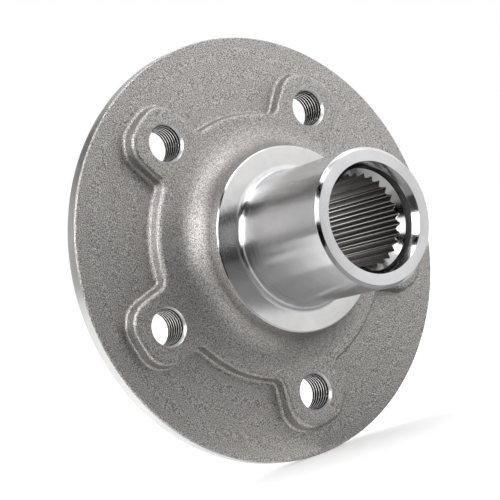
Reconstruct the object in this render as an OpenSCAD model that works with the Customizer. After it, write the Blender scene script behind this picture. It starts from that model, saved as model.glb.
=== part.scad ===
// Driven wheel hub: one forging with a round wheel flange, a five-lobed bolt pad, a bearing journal
// and a splined bore. Millimetres. The origin is the centre of the brake disc's face on the spin axis.
// The spin axis is Y: -Y is the journal's side, +Y the wheel's side, and +Z is up.

/* [Flange] */
// Outside diameter of the wheel flange
flange_d = 158; // [150:1:180]
// Thickness of the flange at its rim
flange_t = 6; // [5:0.5:9]
// Chamfer of the rim on the wheel's side
rim_chamfer = 0.9; // [0.4:0.1:1.5]
// Chamfer of the rim on the journal's side
face_chamfer = 0.5; // [0.3:0.1:1]
// How far the forged face rises from the rim to the pad, as a shallow cone
face_rise = 1.4; // [0.8:0.2:2]

/* [Wheel bolts] */
// Number of wheel bolts
bolt_count = 5; // [4:1:6]
// Diameter of the circle through the wheel bolts
bolt_circle_d = 112; // [108:1:120]
// Outside diameter of the bolt thread
bolt_d = 14; // [12:0.5:15]
// Chamfer at both ends of a bolt hole
bolt_chamfer = 0.3; // [0.2:0.1:0.6]

/* [Bolt pad] */
// Height of the lobed pad above the flange
pad_h = 6.5; // [5:0.5:9]
// Width of the flat ring between the neck's root and the pad's edge
pad_ring_w = 2.2; // [1.6:0.2:7]
// Width of a lobe
lobe_w = 22; // [20:0.2:24]
// Distance from a bolt's axis to the end of its lobe
lobe_end = 10.8; // [9:0.2:12]
// Radius of a lobe's corners
lobe_corner_r = 8; // [4:0.5:9]
// Radius where a lobe runs into the pad
lobe_root_r = 5; // [3:0.5:6]
// Draft of the pad's wall in degrees
pad_draft = 3; // [2:1:10]
// Radius at the foot of the pad's wall
pad_foot_r = 1.3; // [0.8:0.1:2]
// Radius at the top of the pad's wall
pad_edge_r = 1.7; // [0.8:0.1:2]

/* [Neck and bearing shoulder] */
// Height of the shoulder's face above the pad
neck_h = 14.7; // [13:0.1:20]
// Radius of the neck's root on the pad
neck_root_r = 11; // [5:0.5:11]
// How far the neck's wall tapers in from its root to the shoulder's face
neck_taper = 0.5; // [0.2:0.1:2]
// Width of the bearing shoulder's face, from the journal to the edge
shoulder_w = 9.5; // [6:0.5:11]
// Thickness of the bearing shoulder
shoulder_t = 3; // [2:0.5:4]
// Chamfer of the shoulder's edge
shoulder_chamfer = 0.4; // [0.2:0.1:0.8]

/* [Bearing journal] */
// Diameter of the bearing journal
journal_d = 49; // [46:0.5:52]
// Length of the journal from the shoulder's face to its end
journal_l = 46.1; // [40:0.1:60]
// Radius between the journal and the shoulder
journal_root_r = 2.5; // [1:0.5:3]
// Chamfer of the journal's end
journal_chamfer = 1.1; // [0.5:0.1:2]

/* [Mouth of the bore] */
// How far the tapered mouth opens out from the plain land behind it
mouth_flare = 1.3; // [0.5:0.1:2]
// Length of the tapered mouth
mouth_l = 3; // [2:0.5:5]
// Gap between the spline's grooves and the plain land
land_gap = 1.55; // [1:0.05:2]
// Length of the plain land
land_l = 2.9; // [2:0.1:5]

/* [Drive spline] */
// Number of teeth
spline_teeth = 30; // [24:1:36]
// Diameter inside the spline's teeth
spline_minor_d = 31.2; // [28:0.1:33]
// Height of a tooth
tooth_h = 1.05; // [0.8:0.05:1.3]
// Share of a tooth's pitch that a groove takes at the tips of the teeth
groove_share = 0.62; // [0.5:0.02:0.7]
// Angle of a groove's flanks in degrees
flank_angle = 24; // [15:1:30]
// How far the grooves are turned from the wheel bolts, in degrees
spline_turn = 7.5; // [0:0.5:12]

/* [Nut seat and wheel spigot] */
// Thickness of the web that carries the nut's seat
seat_t = 4.5; // [3:0.5:6]
// Gap between the spline's grooves and the plain relief in the web
relief_gap = 0.75; // [0.4:0.05:1.5]
// Width of the web from the relief to the wall of the nut's recess
seat_w = 5.6; // [4:0.1:7]
// Diameter of the spigot that centres the wheel
wheel_spigot_d = 57; // [54:0.5:66]
// Step from the wheel's spigot out to the brake disc's
disc_step = 4; // [2:0.5:6]
// Width of the spigot's root ring, which is flush with the brake disc's face
spigot_root_w = 0.5; // [0.3:0.1:2]
// Height of the disc's spigot
disc_spigot_h = 5; // [4:0.5:8]
// Height of the wheel's spigot above the disc's spigot
wheel_spigot_h = 8; // [5:0.5:12]
// Chamfer of the spigots and the recess
spigot_chamfer = 1; // [0.5:0.1:1.5]

/* [Hidden] */

// Segments of a full circle, and of each curved stretch of the lobed pad
ROUND = 120;
ARC_STEPS = 5;
// How far a cutting shape runs past the face that it cuts
PAST = 1;
// How deep the pad's foot is sunk into the flange's face before the flange is cut away from it
SUNK = 0.05;
// Height of the neck's wall that its root fillet always leaves under the shoulder
NECK_WALL_H = 0.5;

// Heights above the brake disc's face, measured along the axis towards the journal's end
pad_foot_z = flange_t;
face_top_z = flange_t + face_rise;
pad_top_z = flange_t + pad_h;
shoulder_z = pad_top_z + neck_h;
shoulder_back_z = shoulder_z - shoulder_t;
journal_end_z = shoulder_z + journal_l;
land_start_z = journal_end_z - mouth_l;
spline_start_z = land_start_z - land_l;
seat_z = pad_top_z - seat_t;

// The bore's radii, from the spline outwards
spline_minor_r = spline_minor_d / 2;
spline_major_r = spline_minor_r + tooth_h;
land_r = spline_major_r + land_gap;
mouth_r = land_r + mouth_flare;
relief_r = spline_major_r + relief_gap;
recess_r = relief_r + seat_w;

// The outer radii, from the journal outwards. The core that carries the spline ends halfway out to the
// journal's surface. The neck's root fillet is limited by the height of the neck below the shoulder.
journal_r = journal_d / 2;
core_r = (spline_major_r + journal_r) / 2;
shoulder_r = journal_r + shoulder_w;
neck_wall_r = shoulder_r + neck_taper;
neck_fillet_r = min(neck_root_r, neck_h - shoulder_t - NECK_WALL_H);
neck_foot_r = neck_wall_r + neck_fillet_r;
pad_edge_radius = neck_foot_r + pad_ring_w;
shoulder_back_r = shoulder_r + neck_taper * shoulder_t / (neck_h - neck_fillet_r);
wheel_spigot_r = wheel_spigot_d / 2;
disc_spigot_r = wheel_spigot_r + disc_step;
spigot_root_r = disc_spigot_r + spigot_root_w;
journal_root_end_r = journal_r + journal_root_r;
face_edge_r = flange_d / 2 - face_chamfer;

// Draws its children, modelled along Z, along the spin axis with the journal's end towards -Y
module along_axle() {
    rotate([90, 0, 0]) children();
}

// A solid of revolution from points of radius and height
module turned(profile) {
    rotate_extrude($fn = ROUND) polygon(profile);
}

// Points of an arc, from one angle to the other
function arc(centre, r, from, to, steps = ARC_STEPS) = [
    for (i = [0 : steps])
        let (a = from + (to - from) * i / steps)
        centre + r * [cos(a), sin(a)]
];

// A cylinder with a flare at each end, to cut a chamfered hole from one height to the other
module chamfered_hole(d, z_low, z_high, chamfer) {
    translate([0, 0, z_low - PAST]) cylinder(d = d, h = z_high - z_low + 2 * PAST, $fn = ROUND);
    for (end = [[z_low, -1], [z_high, 1]])
        translate([0, 0, end[0]])
            mirror([0, 0, end[1] < 0 ? 1 : 0])
                translate([0, 0, -chamfer])
                    cylinder(d1 = d, d2 = d + 2 * (chamfer + PAST), h = chamfer + PAST, $fn = ROUND);
}

// Puts its children at each wheel bolt, with one bolt straight below the axis
module at_bolts() {
    for (i = [0 : bolt_count - 1])
        rotate([0, 0, -90 + i * 360 / bolt_count])
            translate([bolt_circle_d / 2, 0, 0])
                children();
}

// The wheel bolts' holes, from the brake disc's face to the top of the pad
module bolt_holes() {
    at_bolts() chamfered_hole(bolt_d, 0, pad_top_z, bolt_chamfer);
}

// One lobe's share of the pad's outline, moved out by d: the pad's arc, a root fillet, the lobe's side
// and corner, and the same mirrored. The lobe points along X.
function lobe_outline(d) =
    let (
        pad_r = pad_edge_radius + d,
        half = lobe_w / 2 + d,
        tip = bolt_circle_d / 2 + lobe_end + d,
        corner = lobe_corner_r + d,
        root = lobe_root_r - d,
        root_x = sqrt(pow(pad_r + root, 2) - pow(half + root, 2)),
        root_a = atan2(half + root, root_x),
        share = 180 / bolt_count,
        pad_arc = arc([0, 0], pad_r, -share, -root_a),
        root_arc = arc([root_x, -half - root], root, 180 - root_a, 90),
        corner_arc = arc([tip - corner, -half + corner], corner, -90, 0),
        lower = concat(
            [for (i = [1 : ARC_STEPS]) pad_arc[i]],
            [for (i = [1 : ARC_STEPS]) root_arc[i]],
            corner_arc
        )
    )
    concat(lower, [for (i = [len(lower) - 1 : -1 : 0]) [lower[i][0], -lower[i][1]]]);

// The whole outline of the pad, moved out by d
function pad_outline(d) = [
    for (k = [0 : bolt_count - 1], p = lobe_outline(d))
        let (a = -90 + k * 360 / bolt_count)
        [p[0] * cos(a) - p[1] * sin(a), p[0] * sin(a) + p[1] * cos(a)]
];

// Height of the flange's conical face above the rim's edge, at a distance from the axis
function face_lift(r) = face_rise * (face_edge_r - r) / (face_edge_r - pad_edge_radius);

// The pad's wall in [outset, height, share] steps: a foot fillet, the drafted wall and the rounded top edge.
// The outset is 0 where the rounded edge meets the pad's flat top. The share is 1 where the height counts
// from the flange's conical face, and 0 where it counts from the rim's edge.
pad_wall =
    let (
        turn = 90 - pad_draft,
        edge_out = pad_edge_r * sin(turn),
        edge_z = pad_h - pad_edge_r * (1 - cos(turn)),
        foot_z = pad_foot_r * (1 - cos(turn)),
        foot_out = edge_out + (edge_z - foot_z) * tan(pad_draft),
        foot = [for (i = [0 : ARC_STEPS])
            let (a = turn * i / ARC_STEPS)
            [foot_out + pad_foot_r * (sin(turn) - sin(a)), pad_foot_r * (1 - cos(a)) - SUNK, 1]],
        edge = [for (i = [0 : ARC_STEPS])
            let (a = turn * (1 - i / ARC_STEPS))
            [pad_edge_r * sin(a), pad_h - pad_edge_r * (1 - cos(a)), 0]]
    )
    concat(foot, edge);

// Lofts the pad's outline up its wall, across its top to a ring inside the recess, and back under its foot.
// Each strip of faces joins one ring to the next, and the last ring to the first.
module pad_loft() {
    inner_r = recess_r - PAST;
    inner = [for (p = pad_outline(0)) inner_r * p / norm(p)];
    under = [for (p = pad_outline(pad_wall[0][0])) [p[0], p[1], 0]];
    walls = [for (step = pad_wall)
        [for (p = pad_outline(step[0])) [p[0], p[1], step[1] + step[2] * face_lift(norm(p))]]];
    rings = concat([under], walls, [for (z = [pad_h, 0]) [for (p = inner) [p[0], p[1], z]]]);
    n = len(inner);
    count = len(rings) * n;
    faces = [
        for (ring = [0 : len(rings) - 1], i = [0 : n - 1])
            let (a = ring * n + i, b = ring * n + (i + 1) % n)
            [a, (a + n) % count, (b + n) % count, b]
    ];
    polyhedron(points = [for (ring = rings, p = ring) p], faces = faces, convexity = 6);
}

// The flange before its holes: a ring round the root of the spigot, with a conical face towards the pad
module flange_blank() {
    turned([
        [spigot_root_r, 0],
        [flange_d / 2 - rim_chamfer, 0],
        [flange_d / 2, rim_chamfer],
        [flange_d / 2, flange_t - face_chamfer],
        [face_edge_r, flange_t],
        [pad_edge_radius, face_top_z],
        [spigot_root_r, face_top_z]
    ]);
}

// The wheel flange with its turned rim
module flange_disc() {
    color([0.60, 0.585, 0.57]) along_axle() difference() {
        flange_blank();
        bolt_holes();
    }
}

// The raised pad with one lobe round each wheel bolt
module bolt_pad() {
    color([0.58, 0.565, 0.55]) along_axle() difference() {
        translate([0, 0, pad_foot_z]) pad_loft();
        flange_blank();
        translate([0, 0, pad_foot_z - PAST]) cylinder(r = recess_r, h = pad_h + 2 * PAST, $fn = ROUND);
        bolt_holes();
    }
}

// The neck sweeps up from the pad to the bearing shoulder: a wide root fillet and a slightly tapered wall
module hub_neck() {
    root = arc([neck_foot_r, pad_top_z + neck_fillet_r], neck_fillet_r, 270, 180, 12);
    color([0.56, 0.545, 0.53]) along_axle() turned(concat(
        [[core_r, pad_top_z]],
        root,
        [[shoulder_back_r, shoulder_back_z], [core_r, shoulder_back_z]]
    ));
}

// The machined collar that the bearing's inner ring stops against, round the foot of the journal
module bearing_shoulder() {
    color([0.78, 0.78, 0.79]) along_axle() turned([
        [journal_root_end_r, shoulder_back_z],
        [shoulder_back_r, shoulder_back_z],
        [shoulder_r, shoulder_z - shoulder_chamfer],
        [shoulder_r - shoulder_chamfer, shoulder_z],
        [journal_root_end_r, shoulder_z]
    ]);
}

// The ground journal for the wheel bearing, with a root fillet, an end chamfer and the tapered mouth
module bearing_journal() {
    root = arc([journal_root_end_r, shoulder_z + journal_root_r], journal_root_r, 270, 180, 8);
    color([0.80, 0.80, 0.82]) along_axle() turned(concat(
        [[core_r, shoulder_back_z], [journal_root_end_r, shoulder_back_z]],
        root,
        [
            [journal_r, journal_end_z - journal_chamfer],
            [journal_r - journal_chamfer, journal_end_z],
            [mouth_r, journal_end_z],
            [land_r, land_start_z],
            [land_r, spline_start_z],
            [core_r, spline_start_z]
        ]
    ));
}

// The plan of the spline's opening: a round bore with a tapered groove for each tooth of the stub axle
module spline_opening() {
    half_a = 180 / spline_teeth * groove_share;
    half_low = spline_minor_r * sin(half_a);
    half_high = half_low - tooth_h * tan(flank_angle);
    low_x = spline_minor_r * cos(half_a);
    circle(r = spline_minor_r, $fn = ROUND);
    for (i = [0 : spline_teeth - 1])
        rotate(spline_turn + i * 360 / spline_teeth)
            polygon([
                [low_x - PAST, -half_low],
                [low_x, -half_low],
                [spline_major_r, -half_high],
                [spline_major_r, half_high],
                [low_x, half_low],
                [low_x - PAST, half_low]
            ]);
}

// The core of the hub with the internal spline that the drive shaft slides into
module drive_spline() {
    lead_h = land_r - spline_minor_r + PAST;
    color([0.30, 0.30, 0.30]) along_axle() difference() {
        translate([0, 0, pad_top_z])
            cylinder(r = core_r, h = spline_start_z - pad_top_z, $fn = ROUND);
        translate([0, 0, pad_top_z - PAST])
            linear_extrude(height = spline_start_z - pad_top_z + 2 * PAST) spline_opening();
        translate([0, 0, spline_start_z - lead_h])
            cylinder(r1 = land_r - lead_h, r2 = land_r, h = lead_h, $fn = ROUND);
    }
}

// The web behind the axle nut's recess, with the flat seat for the nut and a plain relief at the spline
module nut_seat() {
    color([0.74, 0.74, 0.75]) along_axle() turned([
        [relief_r + spigot_chamfer, seat_z],
        [recess_r, seat_z],
        [recess_r, pad_top_z],
        [relief_r, pad_top_z],
        [relief_r, seat_z + spigot_chamfer]
    ]);
}

// The stepped spigot on the wheel's side: it centres first the brake disc and then the wheel
module wheel_spigot() {
    top = disc_spigot_h + wheel_spigot_h;
    color([0.72, 0.72, 0.73]) along_axle() turned([
        [recess_r, flange_t],
        [recess_r, -top + spigot_chamfer],
        [recess_r + spigot_chamfer, -top],
        [wheel_spigot_r - spigot_chamfer, -top],
        [wheel_spigot_r, -top + spigot_chamfer],
        [wheel_spigot_r, -disc_spigot_h],
        [disc_spigot_r - spigot_chamfer, -disc_spigot_h],
        [disc_spigot_r, -disc_spigot_h + spigot_chamfer],
        [disc_spigot_r, 0],
        [spigot_root_r, 0],
        [spigot_root_r, flange_t]
    ]);
}

flange_disc();
bolt_pad();
hub_neck();
bearing_shoulder();
bearing_journal();
drive_spline();
nut_seat();
wheel_spigot();
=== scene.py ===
"""Dresses the wheel hub: the forged skin, the turned and ground surfaces, the spline and the bolt threads.

Shapes are worked out in millimetres in the hub's own directions: x and y across the flange, as seen from
the journal's end, and z along the axis from the brake disc's face towards the journal's end. placed() turns
them into the frame's metres, where the spin axis is Y and the journal points along -Y.
"""
import math

import bmesh
import bpy
import numpy as np
from mathutils import Matrix, Vector
from mathutils.geometry import delaunay_2d_cdt


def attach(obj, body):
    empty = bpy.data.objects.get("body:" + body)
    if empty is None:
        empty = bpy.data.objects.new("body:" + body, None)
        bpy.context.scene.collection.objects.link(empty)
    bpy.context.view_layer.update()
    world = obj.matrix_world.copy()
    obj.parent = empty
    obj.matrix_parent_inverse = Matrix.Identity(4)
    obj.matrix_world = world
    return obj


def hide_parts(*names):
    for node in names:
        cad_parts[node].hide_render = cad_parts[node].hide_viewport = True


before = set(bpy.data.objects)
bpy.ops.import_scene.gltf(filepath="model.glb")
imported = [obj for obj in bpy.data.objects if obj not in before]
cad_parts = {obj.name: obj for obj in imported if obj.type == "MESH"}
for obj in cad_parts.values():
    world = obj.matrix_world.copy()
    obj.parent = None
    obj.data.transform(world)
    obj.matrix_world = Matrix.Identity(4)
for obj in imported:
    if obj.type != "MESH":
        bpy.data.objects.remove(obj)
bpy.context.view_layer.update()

# Sizes of the hub in millimetres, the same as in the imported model
FLANGE_R, FLANGE_T = 79.0, 6.0
RIM_CHAMFER, FACE_CHAMFER, FACE_RISE = 0.9, 0.5, 1.4
BOLT_COUNT, BOLT_CIRCLE_R, BOLT_R = 5, 56.0, 7.0
PAD_H, PAD_RING_R, LOBE_HALF, LOBE_TIP = 6.5, 47.7, 11.0, 66.8
LOBE_CORNER_R, LOBE_ROOT_R = 8.0, 5.0
PAD_DRAFT, PAD_FOOT_R, PAD_EDGE_R = math.radians(3), 1.3, 1.7
PAD_TOP_Z = FLANGE_T + PAD_H
NECK_FOOT_R, NECK_ROOT_R = 45.5, 11.0
SHOULDER_Z, SHOULDER_T, SHOULDER_R, SHOULDER_CHAMFER = 27.2, 3.0, 34.0, 0.4
SHOULDER_BACK_Z = SHOULDER_Z - SHOULDER_T
SHOULDER_BACK_R = 34.405
JOURNAL_R, JOURNAL_ROOT_R, JOURNAL_CHAMFER, JOURNAL_END_Z = 24.5, 2.5, 1.1, 73.3
JOURNAL_ROOT_END_R = JOURNAL_R + JOURNAL_ROOT_R
MOUTH_R, CORE_R = 19.5, 20.575
SPLINE_TEETH, SPLINE_MINOR_R, SPLINE_MAJOR_R, SPLINE_TURN = 30, 15.6, 16.65, math.radians(7.5)
RELIEF_R, RECESS_R, SEAT_Z = 17.4, 23.0, 8.0
WHEEL_SPIGOT_R, DISC_SPIGOT_R, SPIGOT_ROOT_R = 28.5, 32.5, 33.0
DISC_SPIGOT_H, SPIGOT_TOP, SPIGOT_CHAMFER = 5.0, 13.0, 1.0

# The bore's plain land, as narrow and as long as it looks in the photo
LAND_R, LAND_START_Z, SPLINE_START_Z = 18.0, 70.65, 67.3

# How far the lobes' sides and tips bulge, so that no three points of the pad's outline lie on a line
SIDE_CROWN, TIP_CROWN = 0.04, 0.15

# Bolt threads, and the curved countersink that opens from the crests' radius to the mouth's
THREAD_PITCH, BOLT_MINOR_R, BOLT_MOUTH_R = 1.5, 6.19, 7.25
SINK_DEPTH, SINK_CURVE, SINK_EDGE = 2.2, 1.6, 0.02

# Where the first thread begins: its least depth, the part of a turn where it has that, and its run-out
FIRST_THREAD_DEPTH, FIRST_THREAD_TURN, RUN_OUT = 0.35, 0.4, 0.4

# A spline tooth, in shares of its pitch from its middle: where its tip and flank end, and the flank's curve
TIP_SHARE, FLANK_SHARE, FLANK_CURVE = 0.045, 0.455, 1.9

# The part of the pad's wall with the rougher skin and a painted highlight, a paler grain where the light
# falls on the upper left: its reach past the ring, and the angle where it begins
LIT_WALL_REACH, LIT_WALL_START = 3.2, 125

# How near a face's centre lies to the surface that it belongs to
NEAR, VERY_NEAR = 0.05, 0.02

# Points round a turned surface, round a circle in a flat face, and round a bolt hole
ROUND, FACE_ROUND, HOLE_ROUND = 360, 240, 72

MM = 0.001


# Points and meshes

def linked(name, data):
    """Makes an object of a mesh, a camera or a lamp, and puts it in the scene."""
    made = bpy.data.objects.new(name, data)
    bpy.context.scene.collection.objects.link(made)
    return made


def placed(points):
    """Millimetres in the hub's own directions to metres in the frame."""
    p = np.asarray(points, float)
    return np.stack([p[:, 0], -p[:, 2], p[:, 1]], 1) * MM


def circle(r, count=ROUND, centre=(0.0, 0.0)):
    """Points (x, y) on a circle."""
    angles = np.arange(count) * 2 * math.pi / count
    return np.stack([centre[0] + r * np.cos(angles), centre[1] + r * np.sin(angles)], 1)


def ring(radii, angles, z, centre=(0.0, 0.0)):
    """Points (x, y, z) at one height round a centre, each at its own angle and radius."""
    return np.stack([centre[0] + radii * np.cos(angles), centre[1] + radii * np.sin(angles),
                     np.full(len(angles), z)], 1)


def arc(centre, r, start, end, steps):
    """Points on an arc, between two angles in degrees."""
    angles = np.radians(np.linspace(start, end, steps + 1))
    return np.stack([centre[0] + r * np.cos(angles), centre[1] + r * np.sin(angles)], 1)


def face_z(r):
    """Height of the flange's forged face: a shallow cone that rises from the rim to the pad."""
    edge = FLANGE_R - FACE_CHAMFER
    return FLANGE_T + FACE_RISE * (edge - np.maximum(r, PAD_RING_R)) / (edge - PAD_RING_R)


def at_height(outline, z):
    """The outline's points at a height, or at a height that depends on the distance from the axis."""
    outline = np.asarray(outline, float)
    height = z(np.hypot(outline[:, 0], outline[:, 1])) if callable(z) else np.full(len(outline), float(z))
    return np.column_stack([outline, height])


# Angles of the wheel bolts, one straight below the axis, their centres and the outlines of their holes
BOLT_ANGLES = [math.radians(-90 + 360 * k / BOLT_COUNT) for k in range(BOLT_COUNT)]
BOLT_CENTRES = [(BOLT_CIRCLE_R * math.cos(a), BOLT_CIRCLE_R * math.sin(a)) for a in BOLT_ANGLES]
BOLT_HOLES = [circle(BOLT_MOUTH_R, HOLE_ROUND, centre) for centre in BOLT_CENTRES]


def forge_waves(count=14):
    """Directions and phases of the low waves that leave a forging slightly uneven."""
    draw = np.random.default_rng(7)
    lengths = draw.uniform(9.0, 26.0, count)
    ways = draw.normal(size=(count, 3))
    ways /= np.linalg.norm(ways, axis=1)[:, None]
    return ways * (2 * math.pi / lengths)[:, None], draw.uniform(0, 2 * math.pi, (3, count))


# The waves, and how far one of them moves a point along each axis, in millimetres
WAVES, PHASES = forge_waves()
UNEVEN = 0.012


def fade(distance, start, width):
    """0 up to start, rising smoothly to 1 over width."""
    t = np.clip((distance - start) / width, 0, 1)
    return t * t * (3 - 2 * t)


def forged(points):
    """Moves the points of an as-forged surface a little, but none where a machined surface begins."""
    p = np.asarray(points, float)
    turns = p @ WAVES.T
    shift = np.stack([np.sin(turns + phase).sum(1) for phase in PHASES], 1) * UNEVEN
    radius = np.hypot(p[:, 0], p[:, 1])
    keep = fade(FLANGE_R - radius, 0.6, 6.0) * fade(radius, RECESS_R, 6.0)
    keep *= fade(SHOULDER_BACK_Z - p[:, 2], 0.0, 6.0) * fade(p[:, 2], FLANGE_T - 1.0, 1.0)
    for cx, cy in BOLT_CENTRES:
        keep *= fade(np.hypot(p[:, 0] - cx, p[:, 1] - cy), BOLT_MOUTH_R, 2.5)
    return p + shift * keep[:, None]


class Patchwork:
    """Collects patches of faces in millimetres, then welds them into one closed piece.

    A patch's finish is one of the piece's materials, or a function that gives one for a face's centre. A
    patch without a finish has the piece's first material.
    """

    def __init__(self, *materials):
        self.materials = materials
        self.points, self.faces, self.slots, self.count = [], [], [], 0

    def add(self, points, faces, finish=None):
        """Adds a patch: its points, and its faces as lists of their numbers."""
        points = np.asarray(points, float)
        self.points.append(points)
        self.faces += [[i + self.count for i in face] for face in faces]
        chosen = [finish(points[face].mean(0)) if callable(finish) else finish for face in faces]
        self.slots += [self.materials.index(material or self.materials[0]) for material in chosen]
        self.count += len(points)

    def strip(self, loop_a, loop_b, finish=None):
        """Joins two closed loops of the same number of points with quads."""
        n = len(loop_a)
        faces = [[i, (i + 1) % n, n + (i + 1) % n, n + i] for i in range(n)]
        self.add(np.vstack([loop_a, loop_b]), faces, finish)

    def strips(self, loops, finish=None):
        """Joins each loop with the next."""
        for loop_a, loop_b in zip(loops, loops[1:]):
            self.strip(loop_a, loop_b, finish)

    def sheet(self, loops, z, step, finish=None):
        """Fills the region between closed loops, the outer one first, with triangles of about a step."""
        points = [p for loop in loops for p in loop]
        edges, start = [], 0
        for loop in loops:
            n = len(loop)
            edges += [(start + i, start + (i + 1) % n) for i in range(n)]
            start += n
        reach = np.abs(loops[0]).max()
        rows = np.arange(-reach, reach, step * math.sqrt(3) / 2)
        for k, y in enumerate(rows):
            for x in np.arange(-reach + (k % 2) * step / 2, reach, step):
                if far_enough((x, y), loops, step * 0.6):
                    points.append((x, y))
        filled = delaunay_2d_cdt([Vector(p) for p in points], edges, [], 0, 1e-5)
        flat = np.array([tuple(p) for p in filled[0]])
        faces = [f for f in filled[2] if inside(flat[list(f)].mean(0), loops)]
        self.add(at_height(flat, z), [list(f) for f in faces], finish)

    def piece(self, name, shape=None, sharp=30):
        """Makes the welded piece, smooth except where faces meet at more than the sharp angle."""
        points = np.vstack(self.points)
        if shape is not None:
            points = shape(points)
        mesh = bpy.data.meshes.new(name)
        mesh.from_pydata(placed(points).tolist(), [], self.faces)
        mesh.polygons.foreach_set("material_index", self.slots)
        work = bmesh.new()
        work.from_mesh(mesh)
        bmesh.ops.remove_doubles(work, verts=work.verts, dist=0.002 * MM)
        bmesh.ops.recalc_face_normals(work, faces=work.faces)
        work.to_mesh(mesh)
        work.free()
        mesh.shade_smooth()
        mesh.set_sharp_from_angle(angle=math.radians(sharp))
        for material in self.materials:
            mesh.materials.append(material)
        return linked(name, mesh)


def loop_distance(point, loop):
    """Distance from a point to the nearest corner of a loop; the loops have close corners."""
    return np.hypot(loop[:, 0] - point[0], loop[:, 1] - point[1]).min()


def contains(loop, point):
    """Whether the closed loop goes round the point."""
    x, y = loop[:, 0], loop[:, 1]
    x2, y2 = np.roll(x, -1), np.roll(y, -1)
    crosses = (y > point[1]) != (y2 > point[1])
    with np.errstate(divide="ignore", invalid="ignore"):
        at = x + (point[1] - y) * (x2 - x) / (y2 - y)
    return bool(np.count_nonzero(crosses & (point[0] < at)) % 2)


def inside(point, loops):
    """Whether a point is within the first loop and outside the others."""
    return contains(loops[0], point) and not any(contains(loop, point) for loop in loops[1:])


def far_enough(point, loops, gap):
    """Whether a point is inside the region and further than the gap from its loops."""
    return inside(point, loops) and min(loop_distance(point, loop) for loop in loops) > gap


def rounded(corners, steps=5):
    """A closed profile of (r, z, corner radius) with each corner drawn as an arc."""
    made = []
    for i, (r, z, radius) in enumerate(corners):
        here = np.array([r, z], float)
        back = np.array(corners[i - 1][:2]) - here
        ahead = np.array(corners[(i + 1) % len(corners)][:2]) - here
        back, ahead = back / np.linalg.norm(back), ahead / np.linalg.norm(ahead)
        half = math.acos(float(np.clip(back @ ahead, -1, 1))) / 2
        if radius == 0 or half > math.radians(89):
            made.append(here)
            continue
        centre = here + (back + ahead) / np.linalg.norm(back + ahead) * radius / math.sin(half)
        first = here + back * radius / math.tan(half) - centre
        last = here + ahead * radius / math.tan(half) - centre
        for t in np.linspace(0, 1, steps + 1):
            way = first * (1 - t) + last * t
            made.append(centre + way / np.linalg.norm(way) * radius)
    return np.array(made)


def lathe(patches, profile, finish_of=lambda r, z: None):
    """Turns a closed profile of (r, z) points round the axis. finish_of picks a strip's material."""
    for a, b in zip(profile, np.roll(profile, -1, 0)):
        patches.strip(at_height(circle(a[0]), a[1]), at_height(circle(b[0]), b[1]), finish_of(*(a + b) / 2))


# The lobed pad's outline and wall

def crowned(start, end, crown, steps):
    """Points from start to end on a line that bulges to its right by crown at its middle."""
    start, end = np.array(start, float), np.array(end, float)
    t = np.linspace(0, 1, steps + 1)[:, None]
    aside = np.array([end[1] - start[1], start[0] - end[0]]) / np.linalg.norm(end - start)
    return start * (1 - t) + end * t + aside * crown * 4 * t * (1 - t)


def lobe_share(outset):
    """One lobe's share of the pad's outline, moved out by the outset, with the lobe along x."""
    pad_r, half, tip = PAD_RING_R + outset, LOBE_HALF + outset, LOBE_TIP + outset
    corner, root = LOBE_CORNER_R + outset, LOBE_ROOT_R - outset
    root_x = math.sqrt((pad_r + root) ** 2 - (half + root) ** 2)
    root_turn = math.degrees(math.atan2(half + root, root_x))
    lower = np.vstack([
        arc((0, 0), pad_r, -180 / BOLT_COUNT, -root_turn, 16)[1:],
        arc((root_x, -half - root), root, 180 - root_turn, 90, 12)[1:-1],
        crowned((root_x, -half), (tip - corner, -half), SIDE_CROWN, 10)[:-1],
        arc((tip - corner, -half + corner), corner, -90, 0, 16)[:-1],
        crowned((tip, -half + corner), (tip, half - corner), TIP_CROWN, 10)[:6],
    ])
    upper = lower[-2::-1] * [1, -1]
    first = np.array([[pad_r * math.cos(math.pi / BOLT_COUNT), pad_r * math.sin(math.pi / BOLT_COUNT)]])
    return np.vstack([lower, upper, first])


def pad_outline(outset):
    """The pad's whole outline: a lobe's share for each bolt."""
    share = lobe_share(outset)
    turned = [share @ np.array([[math.cos(a), -math.sin(a)], [math.sin(a), math.cos(a)]]).T
              for a in BOLT_ANGLES]
    return np.vstack(turned)


def pad_wall():
    """The pad's wall in (outset, height, share) steps: foot fillet, drafted wall, rounded top edge.

    The height counts from the flange's conical face where the share is 1, and from its rim where it is 0.
    """
    turn = math.pi / 2 - PAD_DRAFT
    edge_out = PAD_EDGE_R * math.sin(turn)
    edge_z = PAD_H - PAD_EDGE_R * (1 - math.cos(turn))
    foot_z = PAD_FOOT_R * (1 - math.cos(turn))
    foot_out = edge_out + (edge_z - foot_z) * math.tan(PAD_DRAFT)
    foot = [(foot_out + PAD_FOOT_R * (math.sin(turn) - math.sin(a)), PAD_FOOT_R * (1 - math.cos(a)), 1)
            for a in np.linspace(0, turn, 10)]
    edge = [(PAD_EDGE_R * math.sin(a), PAD_H - PAD_EDGE_R * (1 - math.cos(a)), 0)
            for a in np.linspace(turn, 0, 12)]
    return foot + edge


def pad_ring(outset, height, share):
    """One ring of points round the pad's wall."""
    return at_height(pad_outline(outset), lambda r: FLANGE_T + height + share * (face_z(r) - FLANGE_T))


# Materials

def shader_node(tree, kind, inputs=None, **settings):
    """Adds a node, sets its properties, and fills its inputs with values or other nodes' outputs."""
    made = tree.nodes.new(kind)
    for key, value in settings.items():
        setattr(made, key, value)
    for key, value in (inputs or {}).items():
        if isinstance(value, bpy.types.NodeSocket):
            tree.links.new(value, made.inputs[key])
        else:
            made.inputs[key].default_value = value
    return made


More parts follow.
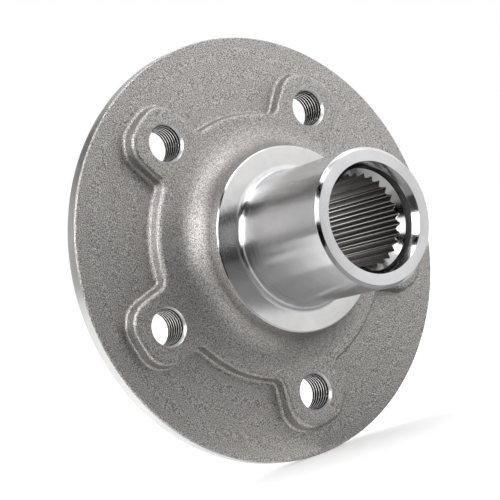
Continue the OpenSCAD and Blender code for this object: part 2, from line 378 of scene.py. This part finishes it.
class Finish:
    """A metal finish: its Principled shader, and short calls for the nodes that feed it."""

    def __init__(self, name, roughness, metallic=1.0, anisotropic=0.0):
        self.material = bpy.data.materials.new(name)
        self.material.use_nodes = True
        self.tree = self.material.node_tree
        self.shader = self.tree.nodes["Principled BSDF"]
        self.shader.inputs["Metallic"].default_value = metallic
        self.shader.inputs["Roughness"].default_value = roughness
        self.shader.inputs["Anisotropic"].default_value = anisotropic
        where = self.add("ShaderNodeTexCoord")
        self.mm = self.add("ShaderNodeVectorMath", {0: where.outputs["Object"], 1: (1 / MM,) * 3},
                           operation="MULTIPLY").outputs[0]

    def add(self, kind, inputs=None, **settings):
        return shader_node(self.tree, kind, inputs, **settings)

    def maths(self, operation, a, b=0.0):
        return self.add("ShaderNodeMath", {0: a, 1: b}, operation=operation).outputs[0]

    def feed(self, key, value):
        """Links a node's output to one of the shader's inputs."""
        self.tree.links.new(value, self.shader.inputs[key])

    def noise(self, size, detail=2.0):
        """Noise whose features are about size millimetres across."""
        made = self.add("ShaderNodeTexNoise", {
            "Vector": self.mm, "Scale": 1 / size, "Detail": detail, "Roughness": 0.5})
        return made.outputs["Fac"]

    def span(self, noise, to_low, to_high, low=0.3, high=0.7):
        """Maps the range that a noise mostly lies in to another range, held at the ends."""
        made = self.add("ShaderNodeMapRange", {
            "Value": noise, "From Min": low, "From Max": high, "To Min": to_low, "To Max": to_high})
        return made.outputs["Result"]

    def mottle(self, noise, dark, pale, low=0.3, high=0.7):
        """Feeds the base colour with a mix of two colours that follows a noise."""
        made = self.add("ShaderNodeMix", {
            "Factor": self.span(noise, 0.0, 1.0, low, high), 6: (*dark, 1.0), 7: (*pale, 1.0)},
            data_type="RGBA")
        self.feed("Base Color", made.outputs[2])

    def bumps(self, layers):
        """Chains bump layers of (height socket, depth in millimetres)."""
        inputs = {"Strength": 1.0}
        for height, depth in layers:
            made = self.add("ShaderNodeBump", {**inputs, "Height": height, "Distance": depth * MM})
            inputs["Normal"] = made.outputs["Normal"]
        self.feed("Normal", inputs["Normal"])

    def axes(self):
        """The place's x, y and z in millimetres, in the frame's directions."""
        return self.add("ShaderNodeSeparateXYZ", {"Vector": self.mm}).outputs[:3]

    def axis_radius(self):
        """Distance from the spin axis in millimetres."""
        x, _, z = self.axes()
        squares = self.maths("ADD", self.maths("MULTIPLY", x, x), self.maths("MULTIPLY", z, z))
        return self.maths("SQRT", squares)

    def turning_lines(self, size):
        """Rings left by the lathe tool, about size millimetres apart, on any turned surface."""
        along = self.maths("ADD", self.maths("MULTIPLY", self.axis_radius(), 0.83), self.axes()[1])
        made = self.add("ShaderNodeTexNoise", {
            "W": along, "Scale": 1 / size, "Detail": 3.0, "Roughness": 0.65}, noise_dimensions="1D")
        return made.outputs["Fac"]

    def along_axis(self):
        """Spreads the gloss along the spin axis on walls and outwards on faces, across the tool's rings."""
        tangent = self.add("ShaderNodeTangent", direction_type="RADIAL", axis="Y")
        self.feed("Tangent", tangent.outputs["Tangent"])
        self.shader.inputs["Anisotropic Rotation"].default_value = 0.25


def scaled(colour, share):
    """A darker or paler colour."""
    return tuple(c * share for c in colour)


# The two warm greys of a shot-blasted grain
GRAIN_DARK, GRAIN_PALE = (0.20, 0.191, 0.183), (0.57, 0.550, 0.533)


def forged_finish(name, roughness, painted_lightness=1.0):
    """Shot-blasted forging: a fine salt-and-pepper grain of peened dimples. A painted_lightness above 1 pales
    the grain's greys, which paints light onto the surface.
    """
    made = Finish(name, roughness)
    made.mottle(made.noise(0.34, detail=1.0), scaled(GRAIN_DARK, painted_lightness), scaled(GRAIN_PALE, painted_lightness),
                0.40, 0.60)
    coarse = made.noise(2.4)
    made.feed("Roughness", made.span(coarse, roughness - 0.03, roughness + 0.03))
    made.bumps([(coarse, 0.03), (made.noise(0.55), 0.22)])
    return made.material


def turned_finish(name, colour, roughness, line_size=0.10, line_depth=0.0, anisotropic=0.0, metallic=1.0):
    """A turned or ground surface: rings of the tool, and a gloss that spreads across them."""
    made = Finish(name, roughness, metallic, anisotropic)
    lines, broad = made.turning_lines(line_size), made.turning_lines(line_size * 9)
    made.mottle(made.noise(6.0, detail=3.0), scaled(colour, 0.94), colour, 0.35, 0.65)
    made.feed("Roughness", made.span(lines, roughness * 0.8, roughness * 1.25))
    made.bumps([(broad, line_depth * 2), (lines, line_depth)])
    made.along_axis()
    return made.material


def tapped_finish(name, colour, roughness):
    """Broached or tapped steel, with the small smears that the tool leaves."""
    made = Finish(name, roughness)
    smears = made.noise(0.7, detail=3.0)
    made.mottle(smears, scaled(colour, 0.7), colour)
    made.bumps([(smears, 0.01)])
    return made.material


FORGED = forged_finish("forged_skin", 0.43)
# A rougher copy of the forged skin with its grain painted paler: a painted highlight for the pad's walls
# where the light falls
LIT_FORGED_WALL = forged_finish("forged_wall_painted_highlight", 0.60, painted_lightness=1.45)
TURNED = turned_finish(
    "turned_steel", (0.66, 0.655, 0.65), 0.18, line_size=0.14, line_depth=0.0012, anisotropic=0.8)
GROUND = turned_finish("ground_steel", (0.66, 0.66, 0.67), 0.22, line_depth=0.0008, anisotropic=0.9)
BRIGHT = turned_finish("bright_steel", (0.72, 0.72, 0.725), 0.13, line_depth=0.0005)
# A darker copy of turned steel for the bore's land: painted shade for the shade deep in the bore
SHADED_LAND = turned_finish("turned_land_painted_shade", (0.36, 0.355, 0.35), 0.30)
COUNTERSINK = turned_finish("countersink", (0.72, 0.72, 0.73), 0.34, metallic=0.6)
RIM = turned_finish("turned_rim", (0.56, 0.555, 0.55), 0.34, line_size=0.2, line_depth=0.006, anisotropic=0.5)
# The spline's steel painted dark: painted shade for the shade deep in the bore
SHADED_SPLINE = tapped_finish("dark_cut_steel", (0.17, 0.163, 0.157), 0.32)
# Pale lines painted along the spline's tooth tips and roots: painted highlights
SPLINE_HIGHLIGHT = turned_finish("spline_painted_highlights", (0.85, 0.84, 0.82), 0.30)
# Thread grooves painted near black, painted shade, and thread crests painted pale, painted highlights
SHADED_GROOVES = tapped_finish("thread_grooves_painted_shade", (0.035, 0.034, 0.033), 0.5)
LIT_CRESTS = turned_finish("thread_crests_painted_highlight", (0.80, 0.79, 0.78), 0.30)


# The pieces

def make_flange():
    """The wheel flange: turned rim and back, and a forged face."""
    patches = Patchwork(FORGED, RIM, TURNED)
    rim = rounded([
        (SPIGOT_ROOT_R, 0, 0), (FLANGE_R - RIM_CHAMFER, 0, 0.15), (FLANGE_R, RIM_CHAMFER, 0.15),
        (FLANGE_R, FLANGE_T - FACE_CHAMFER, 0.12), (FLANGE_R - FACE_CHAMFER, FLANGE_T, 0)])
    rings = [at_height(circle(r), z) for r, z in rim]
    patches.strips(rings[1:-1], RIM)
    patches.strip(rings[-2], rings[-1])
    foot, root = pad_outline(pad_wall()[0][0]), circle(SPIGOT_ROOT_R, FACE_ROUND)
    patches.sheet([rings[-1][:, :2], foot], face_z, 2.2)
    patches.sheet([foot, root] + BOLT_HOLES, face_z, 4.0)
    patches.sheet([rings[1][:, :2], root] + BOLT_HOLES, 0.0, 6.0, TURNED)
    patches.strip(at_height(root, 0), at_height(root, face_z), RIM)
    for hole in BOLT_HOLES:
        patches.strip(at_height(hole, 0), at_height(hole, face_z), TURNED)
    return patches.piece("turned_flange", forged)


def make_pad():
    """The lobed pad, with its underside on the flange's conical face."""
    patches = Patchwork(FORGED, TURNED, LIT_FORGED_WALL)
    wall = pad_wall()
    neck, root, recess = (circle(r, FACE_ROUND) for r in (NECK_FOOT_R, SPIGOT_ROOT_R, RECESS_R))

    # The walls between the lobes on the upper left get the rougher skin with the painted highlight
    def wall_skin_and_painted_light(at):
        between_lobes = math.hypot(at[0], at[1]) < PAD_RING_R + LIT_WALL_REACH
        upper_left = math.degrees(math.atan2(at[1], at[0])) > LIT_WALL_START
        return LIT_FORGED_WALL if between_lobes and upper_left else FORGED

    patches.strips([pad_ring(*step) for step in wall], wall_skin_and_painted_light)
    patches.sheet([pad_outline(0), neck] + BOLT_HOLES, PAD_TOP_Z, 1.6)
    patches.sheet([neck, recess], PAD_TOP_Z, 5.0)
    patches.sheet([pad_outline(wall[0][0]), root] + BOLT_HOLES, face_z, 5.0)
    patches.strip(at_height(root, face_z), at_height(root, FLANGE_T), TURNED)
    patches.sheet([root, recess], FLANGE_T, 5.0)
    patches.strip(at_height(recess, FLANGE_T), at_height(recess, PAD_TOP_Z), TURNED)
    for hole in BOLT_HOLES:
        patches.strip(at_height(hole, face_z), at_height(hole, PAD_TOP_Z), TURNED)
    return patches.piece("forged_pad", forged)


def make_neck():
    """The neck: a large root fillet and a short tapered wall under the shoulder."""
    patches = Patchwork(FORGED)
    root = arc((NECK_FOOT_R, PAD_TOP_Z + NECK_ROOT_R), NECK_ROOT_R, 270, 180, 24)
    wall = np.linspace(root[-1], (SHOULDER_BACK_R, SHOULDER_BACK_Z), 6)[1:]
    inner = np.array([[CORE_R, SHOULDER_BACK_Z], [CORE_R, PAD_TOP_Z]])
    lathe(patches, np.vstack([root, wall, inner]))
    return patches.piece("forged_neck", forged)


def make_shoulder():
    """The bearing's collar: a turned face, a bright chamfer, and a side that is still forged."""
    patches = Patchwork(TURNED, FORGED, BRIGHT)
    chamfer_z = SHOULDER_Z - SHOULDER_CHAMFER
    profile = rounded([
        (JOURNAL_ROOT_END_R, SHOULDER_BACK_Z, 0), (SHOULDER_BACK_R, SHOULDER_BACK_Z, 0),
        (SHOULDER_R, chamfer_z, 0.15), (SHOULDER_R - SHOULDER_CHAMFER, SHOULDER_Z, 0.15),
        (JOURNAL_ROOT_END_R, SHOULDER_Z, 0)])

    def finish_of(r, z):
        if z > chamfer_z - 2 * NEAR:
            return BRIGHT if r > SHOULDER_R - SHOULDER_CHAMFER else TURNED
        return FORGED if r > SHOULDER_R + VERY_NEAR else TURNED

    lathe(patches, profile, finish_of)
    return patches.piece("shoulder_collar")


def make_journal():
    """The bearing's journal with its root fillet and end chamfer, and the bore's mouth and land."""
    patches = Patchwork(GROUND, BRIGHT, SHADED_LAND)
    root = arc((JOURNAL_ROOT_END_R, SHOULDER_Z + JOURNAL_ROOT_R), JOURNAL_ROOT_R, 270, 180, 12)
    chamfer_r, chamfer_z = JOURNAL_R - JOURNAL_CHAMFER, JOURNAL_END_Z - JOURNAL_CHAMFER
    end = rounded([
        (*root[-1], 0), (JOURNAL_R, chamfer_z, 0.2), (chamfer_r, JOURNAL_END_Z, 0.15),
        (MOUTH_R, JOURNAL_END_Z, 0.15), (LAND_R, LAND_START_Z, 0.15),
        (LAND_R, SPLINE_START_Z, 0), (CORE_R, SPLINE_START_Z, 0)])
    back = np.array([[CORE_R, SHOULDER_BACK_Z], [JOURNAL_ROOT_END_R, SHOULDER_BACK_Z]])

    def finish_of(r, z):
        # The land in the bore takes the darker copy, painted shade
        if r < LAND_R + NEAR and z < LAND_START_Z + NEAR:
            return SHADED_LAND
        on_chamfer = r > chamfer_r - NEAR and chamfer_z - NEAR < z < JOURNAL_END_Z - VERY_NEAR
        in_mouth = r < MOUTH_R and z < JOURNAL_END_Z - NEAR
        return BRIGHT if on_chamfer or in_mouth else GROUND

    lathe(patches, np.vstack([back, root, end[1:]]), finish_of)
    return patches.piece("ground_journal")


def make_spline():
    """The spline's teeth, cut back by the cone that leads the shaft in."""
    patches = Patchwork(SHADED_SPLINE, BRIGHT, SPLINE_HIGHLIGHT)
    pitch = 2 * math.pi / SPLINE_TEETH
    steps = np.array([0, TIP_SHARE, 0.12, 0.2, 0.28, 0.35, 0.41, FLANK_SHARE, 0.5])
    lifts = 1 - (np.minimum(steps, FLANK_SHARE) / FLANK_SHARE) ** FLANK_CURVE
    steps = np.concatenate([steps, 1 - steps[-2:0:-1]])
    lifts = np.concatenate([lifts, lifts[-2:0:-1]])
    angles = SPLINE_TURN + (np.arange(SPLINE_TEETH)[:, None] + 0.5 + steps[None, :]).ravel() * pitch
    radii = np.tile(SPLINE_MAJOR_R - lifts * (SPLINE_MAJOR_R - SPLINE_MINOR_R), SPLINE_TEETH)
    lead_z = SPLINE_START_Z - (LAND_R - SPLINE_MINOR_R)
    heights = np.concatenate([[PAD_TOP_Z], np.linspace(PAD_TOP_Z + 6, lead_z, 7),
                              np.linspace(lead_z, SPLINE_START_Z, 27)[1:]])

    def finish_of(at):
        radius = math.hypot(at[0], at[1])
        if abs(radius - LAND_R + SPLINE_START_Z - at[2]) < VERY_NEAR:
            return BRIGHT
        # Tooth tips and roots get the painted highlight lines
        across = abs((math.atan2(at[1], at[0]) - SPLINE_TURN) / pitch % 1 - 0.5)
        highlit = across < TIP_SHARE or across > FLANK_SHARE
        return SPLINE_HIGHLIGHT if highlit and radius < SPLINE_MAJOR_R + 0.01 else SHADED_SPLINE

    teeth = [ring(np.maximum(radii, LAND_R - (SPLINE_START_Z - z)), angles, z) for z in heights]
    loops = [ring(CORE_R, angles, PAD_TOP_Z)] + teeth + [ring(CORE_R, angles, SPLINE_START_Z)]
    patches.strips(loops, finish_of)
    patches.strip(loops[-1], loops[0])
    return patches.piece("cut_spline", sharp=25)


def make_nut_seat():
    """The web that the axle nut seats on, behind the brake disc's face."""
    patches = Patchwork(TURNED)
    lathe(patches, rounded([
        (RELIEF_R + 1, SEAT_Z, 0.1), (RECESS_R, SEAT_Z, 0), (RECESS_R, PAD_TOP_Z, 0),
        (RELIEF_R, PAD_TOP_Z, 0.1), (RELIEF_R, SEAT_Z + 1, 0.1)]))
    return patches.piece("nut_seat_web")


def make_spigot():
    """The stepped spigot that centres the brake disc and the wheel."""
    patches = Patchwork(TURNED)
    lathe(patches, rounded([
        (RECESS_R, FLANGE_T, 0), (RECESS_R, SPIGOT_CHAMFER - SPIGOT_TOP, 0.15),
        (RECESS_R + SPIGOT_CHAMFER, -SPIGOT_TOP, 0.15), (WHEEL_SPIGOT_R - SPIGOT_CHAMFER, -SPIGOT_TOP, 0.15),
        (WHEEL_SPIGOT_R, SPIGOT_CHAMFER - SPIGOT_TOP, 0.15), (WHEEL_SPIGOT_R, -DISC_SPIGOT_H, 0.3),
        (DISC_SPIGOT_R - SPIGOT_CHAMFER, -DISC_SPIGOT_H, 0.15),
        (DISC_SPIGOT_R, SPIGOT_CHAMFER - DISC_SPIGOT_H, 0.15), (DISC_SPIGOT_R, 0, 0),
        (SPIGOT_ROOT_R, 0, 0), (SPIGOT_ROOT_R, FLANGE_T, 0)]))
    return patches.piece("stepped_spigot")


def sink_radius(depth):
    """Radius of the countersink at a depth below the face of a bolt hole."""
    opening = BOLT_MOUTH_R - SINK_EDGE - BOLT_MINOR_R
    return BOLT_MINOR_R + opening * (1 - min(depth / SINK_DEPTH, 1.0)) ** SINK_CURVE


def first_thread(turns):
    """Depth below the face where the first thread begins: it runs out along its own helix."""
    return FIRST_THREAD_DEPTH + THREAD_PITCH * ((FIRST_THREAD_TURN - turns) % 1)


def make_thread(index, centre):
    """One tapped hole: a thin sleeve with a right-handed helical thread and a countersink at both ends."""
    patches = Patchwork(SHADED_GROOVES, LIT_CRESTS, COUNTERSINK)
    around, rows_per_turn = 80, 20
    turns = np.arange(around) / around
    heights = np.linspace(0, PAD_TOP_Z, int(PAD_TOP_Z / THREAD_PITCH * rows_per_turn) + 1)
    rings = []
    for z in heights:
        from_groove = np.abs((z / THREAD_PITCH - turns) % 1 - 0.5) * THREAD_PITCH
        groove = BOLT_R - np.maximum(from_groove - THREAD_PITCH / 16, 0) * math.sqrt(3)
        depth = min(z, PAD_TOP_Z - z)
        cut = np.clip((depth - first_thread(turns)) / RUN_OUT, 0, 1)
        threaded = BOLT_MINOR_R + np.maximum(groove - BOLT_MINOR_R, 0) * cut
        rings.append(ring(np.maximum(sink_radius(depth), threaded), turns * 2 * math.pi, z, centre))

    def finish_of(at):
        x, y = at[0] - centre[0], at[1] - centre[1]
        depth = min(at[2], PAD_TOP_Z - at[2])
        if depth < first_thread(math.atan2(y, x) / (2 * math.pi)) + 0.1:
            return COUNTERSINK
        # The crests get the painted highlight, the grooves the painted shade
        return LIT_CRESTS if math.hypot(x, y) < sink_radius(depth) + 0.03 else SHADED_GROOVES

    outer = circle(BOLT_MOUTH_R, around, centre)
    loops = [at_height(outer, 0)] + rings + [at_height(outer, PAD_TOP_Z)]
    patches.strips(loops, finish_of)
    patches.strip(loops[-1], loops[0])
    return patches.piece(f"bolt_thread_{index + 1}")


# Each piece with its slot's name and the node that it stands for. The threads stand for none.
PIECES = [
    (make_flange(), "forged_skin", ("flange_disc",)),
    (make_pad(), "forged_skin", ("bolt_pad",)),
    (make_neck(), "forged_skin", ("hub_neck",)),
    (make_shoulder(), "turned_steel", ("bearing_shoulder",)),
    (make_journal(), "ground_steel", ("bearing_journal",)),
    (make_spline(), "dark_cut_steel", ("drive_spline",)),
    (make_nut_seat(), "turned_steel", ("nut_seat",)),
    (make_spigot(), "turned_steel", ("wheel_spigot",)),
]
PIECES += [(make_thread(k, centre), "dark_cut_steel", ()) for k, centre in enumerate(BOLT_CENTRES)]
for piece, slot_name, nodes in PIECES:
    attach(piece, "root")
    if nodes:
        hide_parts(*nodes)


# The studio

def make_camera():
    """The photograph's view: level with the hub, 35 degrees round to its left, and tilted a little."""
    place = Vector((-422.31, -594.43, 8.76)) * MM
    right = Vector((0.7827, -0.5574, -0.2770))
    up = Vector((0.2326, -0.1509, 0.9608))
    back = Vector((-0.5773, -0.8165, 0.0116))
    data = bpy.data.cameras.new("camera")
    data.lens, data.sensor_width = 141.84, 36.0
    data.clip_start, data.clip_end = 0.05, 50
    camera = linked("camera", data)
    camera.matrix_world = Matrix.Translation(place) @ Matrix((right, up, back)).transposed().to_4x4()
    bpy.context.scene.camera = camera


def make_world():
    """An even white world, which the metal mirrors wherever the tent has no board."""
    world = bpy.data.worlds.new("studio")
    bpy.context.scene.world = world
    world.use_nodes = True
    world.cycles.sampling_method = "NONE"
    background = world.node_tree.nodes["Background"]
    background.inputs["Color"].default_value = (1, 1, 1, 1)
    background.inputs["Strength"].default_value = 1.0


# Boards of the studio tent, as zones round the axis that points at the journal's side: the angle from the
# axis, the angle round it (0 is right, 90 is up), and how bright the board is. Elsewhere the tent is white.
BOARDS = [
    (0, 22, 0, 360, 0.2),
    (22, 45, -30, 15, 1.05), (22, 45, 15, 90, 1.3), (22, 45, 90, 190, 0.0), (22, 45, 190, 225, 0.3),
    (22, 45, 225, 290, 0.5), (22, 45, 290, 330, 0.95),
    (45, 60, -18, 15, 0.9), (45, 60, 15, 72, 1.4), (45, 60, 76, 108, 2.4), (45, 60, 108, 131, 0.0),
    (45, 60, 131, 164, 1.5), (45, 60, 164, 200, 0.0), (45, 60, 200, 225, 0.3), (45, 60, 225, 342, 0.4),
    (60, 75, -15, 62, 1.2), (75, 90, -15, 62, 1.5), (60, 75, 62, 92, 0.8), (75, 90, 62, 92, 2.2),
    (60, 75, 92, 110, 3.0), (75, 90, 92, 110, 5.0), (60, 90, 110, 131, 0.0), (60, 75, 131, 168, 3.8),
    (75, 90, 131, 168, 5.6), (60, 90, 168, 200, 0.05), (60, 90, 200, 225, 0.3),
    (60, 75, 225, 345, 0.3), (75, 90, 225, 345, 0.7),
    (90, 115, 0, 60, 1.1), (90, 115, 60, 98, 2.0), (90, 115, 98, 125, 0.0), (90, 115, 125, 168, 2.4),
    (90, 115, 168, 200, 1.5), (90, 115, 200, 225, 2.0), (90, 115, 225, 270, 1.0), (90, 115, 270, 360, 0.35),
    (115, 150, 0, 90, 0.65), (115, 150, 90, 130, 0.0), (115, 150, 130, 165, 0.3), (115, 150, 165, 180, 0.3),
    (115, 150, 180, 270, 1.6), (115, 150, 270, 360, 1.3),
]

# The tent in metres: a sphere that ends in a level card just above the floor
TENT_CENTRE, TENT_R, TENT_DEPTH = Vector((0, -0.03, 0)), 0.6, 0.077


def tent_point(from_axis, round_axis):
    """A point of the tent, in the direction that two angles in degrees give."""
    a, b = math.radians(from_axis), math.radians(round_axis)
    way = Vector((math.sin(a) * math.cos(b), -math.cos(a), math.sin(a) * math.sin(b)))
    reach = TENT_DEPTH / -way.z if way.z * TENT_R < -TENT_DEPTH else TENT_R
    return TENT_CENTRE + way * reach


def make_boards():
    """Boards that only reflections see: they light the metal and leave the floor and the camera alone."""
    for index, (near, far, start, stop, brightness) in enumerate(BOARDS):
        name = f"board_{index + 1}"
        rows, columns = 6, max(4, int((stop - start) / 5))
        points = [tent_point(near + (far - near) * i / rows, start + (stop - start) * j / columns)
                  for i in range(rows + 1) for j in range(columns + 1)]
        corners = [i * (columns + 1) + j for i in range(rows) for j in range(columns)]
        faces = [(c, c + 1, c + columns + 2, c + columns + 1) for c in corners]
        material = bpy.data.materials.new(name)
        material.use_nodes = True
        material.cycles.emission_sampling = "NONE"
        material.node_tree.nodes.clear()
        glow = shader_node(material.node_tree, "ShaderNodeEmission", {"Strength": brightness})
        shader_node(material.node_tree, "ShaderNodeOutputMaterial", {"Surface": glow.outputs[0]})
        mesh = bpy.data.meshes.new(name)
        mesh.from_pydata([tuple(p) for p in points], [], faces)
        mesh.materials.append(material)
        board = linked(name, mesh)
        board.visible_camera = board.visible_diffuse = board.visible_shadow = False


def seen_or_mirrored(tree):
    """1 for rays that see the floor: from the camera, in a reflection, or through glass."""
    path = shader_node(tree, "ShaderNodeLightPath")
    total = path.outputs["Is Camera Ray"]
    for key in ("Is Glossy Ray", "Is Transmission Ray"):
        total = shader_node(tree, "ShaderNodeMath", {0: total, 1: path.outputs[key]},
                            operation="MAXIMUM").outputs[0]
    return total


def make_floor(glow):
    """A pale floor under the rim. Its glow for rays that see it whitens it but leaves the hub's shadow."""
    material = bpy.data.materials.new("pale_floor")
    material.use_nodes = True
    tree = material.node_tree
    shader = tree.nodes["Principled BSDF"]
    shader.inputs["Base Color"].default_value = (0.86, 0.86, 0.86, 1)
    shader.inputs["Roughness"].default_value = 0.9
    shader.inputs["Specular IOR Level"].default_value = 0.1
    strength = shader_node(tree, "ShaderNodeMath", {0: seen_or_mirrored(tree), 1: glow},
                           operation="MULTIPLY").outputs[0]
    shader.inputs["Emission Color"].default_value = (1, 1, 1, 1)
    tree.links.new(strength, shader.inputs["Emission Strength"])
    half, z = 4.0, -FLANGE_R * MM
    mesh = bpy.data.meshes.new("studio_floor")
    mesh.from_pydata([(-half, -half, z), (half, -half, z), (half, half, z), (-half, half, z)],
                     [], [(0, 1, 2, 3)])
    mesh.materials.append(material)
    linked("studio_floor", mesh)


def make_lamp(name, place, power, side=0.8):
    """A square soft lamp at a place in metres, turned towards the hub. The metal doesn't mirror it."""
    data = bpy.data.lights.new(name, "AREA")
    data.shape = "RECTANGLE"
    data.size = data.size_y = side
    data.energy = power
    lamp = linked(name, data)
    lamp.location = place
    lamp.rotation_euler = (TENT_CENTRE - Vector(place)).to_track_quat("-Z", "Y").to_euler()
    lamp.visible_glossy = False


make_camera()
make_world()
make_floor(0.31)
make_boards()
make_lamp("soft_front", (-0.3, -0.5, 0.8), 1.6)
make_lamp("soft_back", (0.35, 0.5, 0.7), 1.2)
bpy.context.scene.view_settings.view_transform = "Standard"
